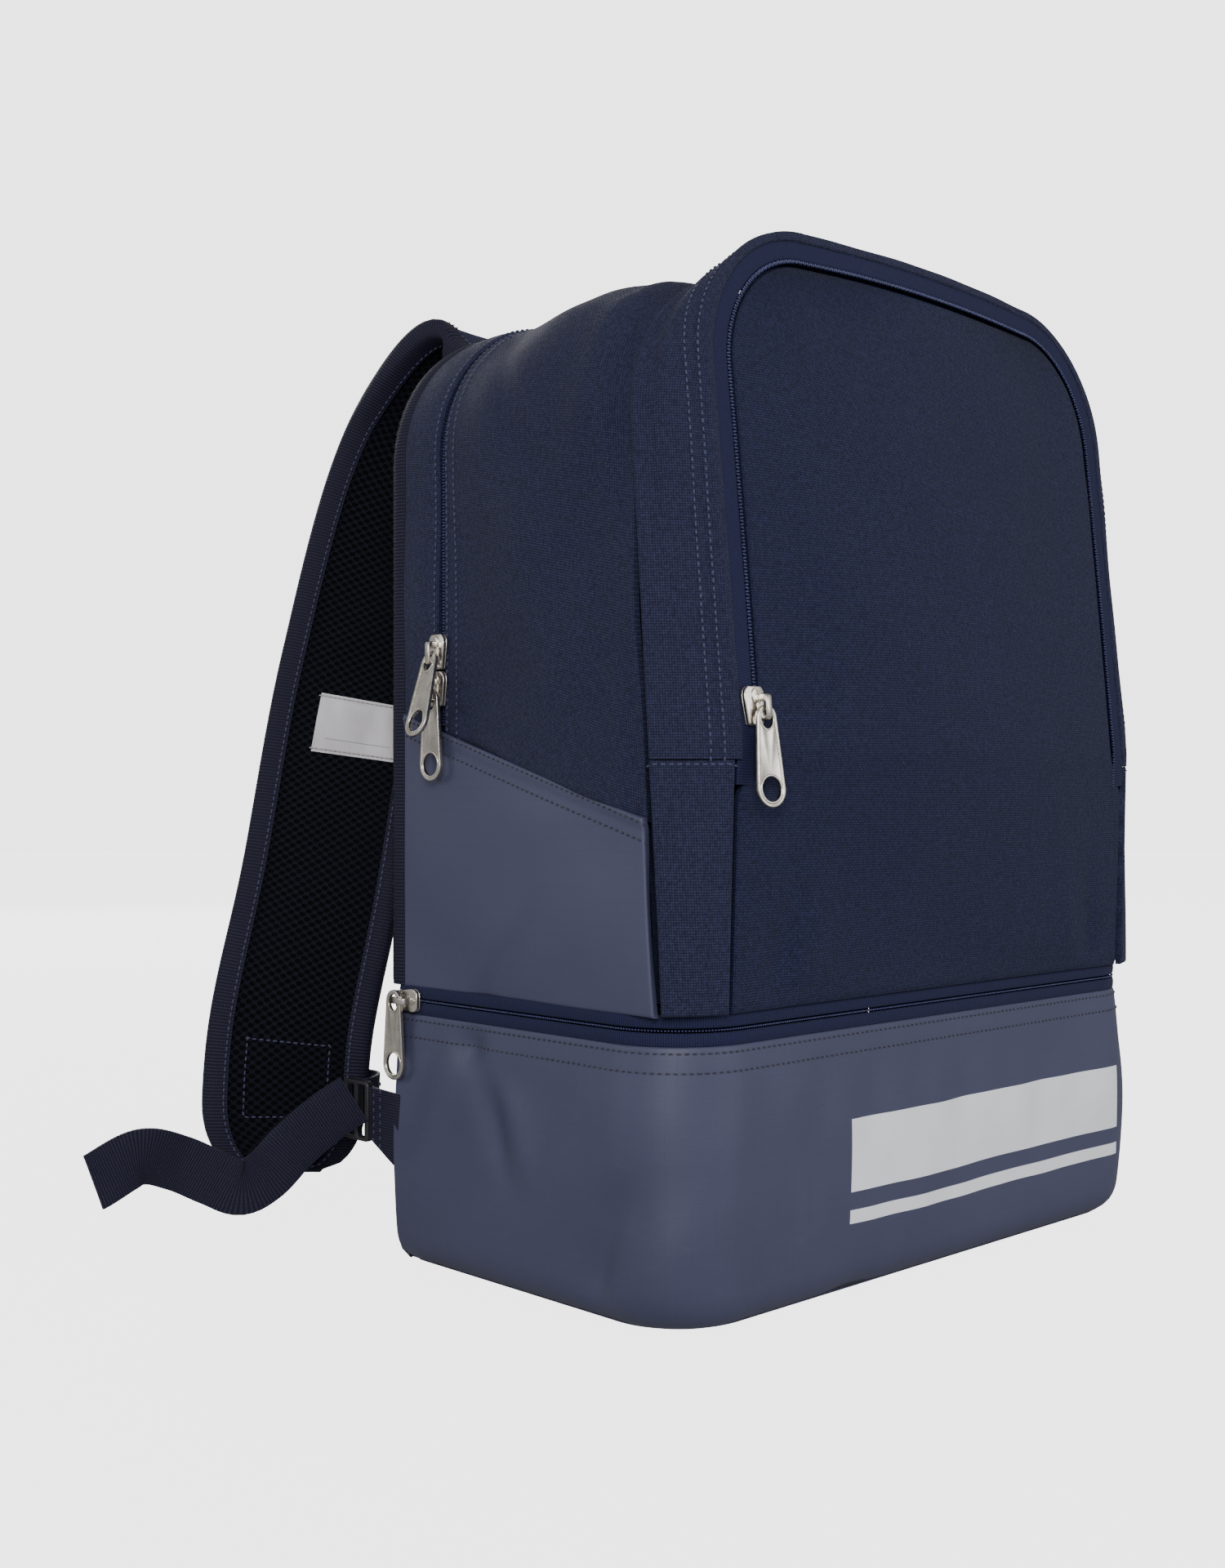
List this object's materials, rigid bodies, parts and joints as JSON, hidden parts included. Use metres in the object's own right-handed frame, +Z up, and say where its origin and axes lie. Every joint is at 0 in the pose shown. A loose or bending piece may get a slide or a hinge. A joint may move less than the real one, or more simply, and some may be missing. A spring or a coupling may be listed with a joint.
{
  "type": "backpack",
  "caption": "Rectangular sports backpack with arched zipped front pocket, zipped shoe compartment below, padded mesh-faced shoulder straps and mesh back panel.",
  "frame": {"origin": "middle of the base's underside, on the floor", "axes": "+Z up, -Y out of the front pocket, +Y towards the wearer's back, +X to the right seen from the front"},
  "size_m": [0.6394, 0.3078, 0.4665],
  "materials": {
    "air_mesh": "knitted spacer mesh",
    "binding": "ribbed binding tape",
    "board": "satin",
    "coated": "smooth coated ripstop",
    "coil": "satin",
    "foam": "open foam",
    "label": "satin",
    "metal": "nickel plate",
    "plastic": "satin",
    "tape": "woven zip tape",
    "webbing": "ribbed webbing",
    "woven": "plain weave polyester"
  },
  "bodies": {
    "shoe_compartment": {"base_panel": "coated", "base_board": "board", "shoe_wall": "coated", "shoe_back_wall": "woven", "bottom_zip_lower_tape": "tape", "bottom_zip_coil": "coil"},
    "upper_bag": {"bottom_zip_upper_tape": "tape", "main_floor": "woven", "side_panel_left": "coated", "side_panel_right": "coated", "main_gusset": "woven", "main_zip_front_tape": "tape", "main_zip_coil": "coil", "main_zip_rear_tape": "tape", "rear_band": "woven", "back_mesh_cover": "air_mesh", "back_foam": "foam", "back_board": "board", "divider_panel": "woven", "pocket_gusset": "woven", "pocket_foot_left": "woven", "pocket_foot_right": "woven", "pocket_zip_outer_tape": "tape", "pocket_zip_coil": "coil", "front_panel_lower": "woven"},
    "pocket_flap": {"front_panel_upper": "woven", "pocket_zip_inner_tape": "tape"},
    "main_slider_upper": {"main_slider_upper": "metal"},
    "main_pull_upper": {"main_pull_upper": "metal"},
    "main_slider_lower": {"main_slider_lower": "metal"},
    "main_pull_lower": {"main_pull_lower": "metal"},
    "pocket_slider": {"pocket_slider": "metal"},
    "pocket_pull": {"pocket_pull": "metal"},
    "bottom_slider_left": {"bottom_slider_left": "metal"},
    "bottom_pull_left": {"bottom_pull_left": "metal"},
    "bottom_slider_right": {"bottom_slider_right": "metal"},
    "bottom_pull_right": {"bottom_pull_right": "metal"},
    "strap_left": {"strap_pad_left": "woven", "strap_mesh_left": "air_mesh", "strap_binding_left": "binding", "strap_webbing_left": "webbing", "strap_tail_left": "webbing", "strap_lock_left": "plastic", "strap_tab_left": "webbing", "name_label": "label"},
    "strap_right": {"strap_pad_right": "woven", "strap_mesh_right": "air_mesh", "strap_binding_right": "binding", "strap_webbing_right": "webbing", "strap_tail_right": "webbing", "strap_lock_right": "plastic", "strap_tab_right": "webbing"},
    "haul_loop": {"haul_loop": "webbing"}
  },
  "joints": [
    {"name": "shoe_opening", "type": "hinge", "parent": "shoe_compartment", "child": "upper_bag", "pos_m": [0, 0.092, 0.124], "axis": [-1, 0, 0], "range_deg": [0, 12]},
    {"name": "pocket_opening", "type": "hinge", "parent": "upper_bag", "child": "pocket_flap", "pos_m": [0, -0.1105, 0.24], "axis": [1, 0, 0], "range_deg": [0, 100]},
    {"name": "main_slide_upper", "type": "slide", "parent": "upper_bag", "child": "main_slider_upper", "axis": [0, 0, 1], "range_m": [0, 0.08]},
    {"name": "main_pull_swing_upper", "type": "hinge", "parent": "main_slider_upper", "child": "main_pull_upper", "pos_m": [-0.18375, 0.056, 0.284], "axis": [0, 0.9903, -0.1392], "range_deg": [0, 85]},
    {"name": "main_slide_lower", "type": "slide", "parent": "upper_bag", "child": "main_slider_lower", "axis": [0, 0, -1], "range_m": [0, 0.008]},
    {"name": "main_pull_swing_lower", "type": "hinge", "parent": "main_slider_lower", "child": "main_pull_lower", "pos_m": [-0.18375, 0.056, 0.267], "axis": [0, 1, 0], "range_deg": [0, 25]},
    {"name": "pocket_slide", "type": "slide", "parent": "upper_bag", "child": "pocket_slider", "axis": [0, 0.1009, 0.9949], "range_m": [0, 0.13]},
    {"name": "pocket_pull_swing", "type": "hinge", "parent": "pocket_slider", "child": "pocket_pull", "pos_m": [-0.13947, -0.1068, 0.25553], "axis": [-0.9932, 0.1157, -0.0107], "range_deg": [0, 110]},
    {"name": "bottom_slide_left", "type": "slide", "parent": "shoe_compartment", "child": "bottom_slider_left", "axis": [0, -1, 0], "range_m": [0, 0.09]},
    {"name": "bottom_pull_swing_left", "type": "hinge", "parent": "bottom_slider_left", "child": "bottom_pull_left", "pos_m": [-0.18375, 0.0839, 0.124], "axis": [-1, 0, 0], "range_deg": [-20, 25]},
    {"name": "bottom_slide_right", "type": "slide", "parent": "shoe_compartment", "child": "bottom_slider_right", "axis": [0, -1, 0], "range_m": [0, 0.09]},
    {"name": "bottom_pull_swing_right", "type": "hinge", "parent": "bottom_slider_right", "child": "bottom_pull_right", "pos_m": [0.18375, 0.0839, 0.124], "axis": [-1, 0, 0], "range_deg": [-20, 25]},
    {"name": "strap_swing_left", "type": "hinge", "parent": "upper_bag", "child": "strap_left", "pos_m": [-0.09, 0.097, 0.436], "axis": [-0.2388, 0, -0.9711], "range_deg": [0, 8]},
    {"name": "strap_swing_right", "type": "hinge", "parent": "upper_bag", "child": "strap_right", "pos_m": [0.09, 0.097, 0.436], "axis": [-0.2388, 0, 0.9711], "range_deg": [0, 8]},
    {"name": "haul_loop_fold", "type": "hinge", "parent": "upper_bag", "child": "haul_loop", "pos_m": [0, 0.0962, 0.442], "axis": [1, 0, 0], "range_deg": [0, 150]}
  ]
}
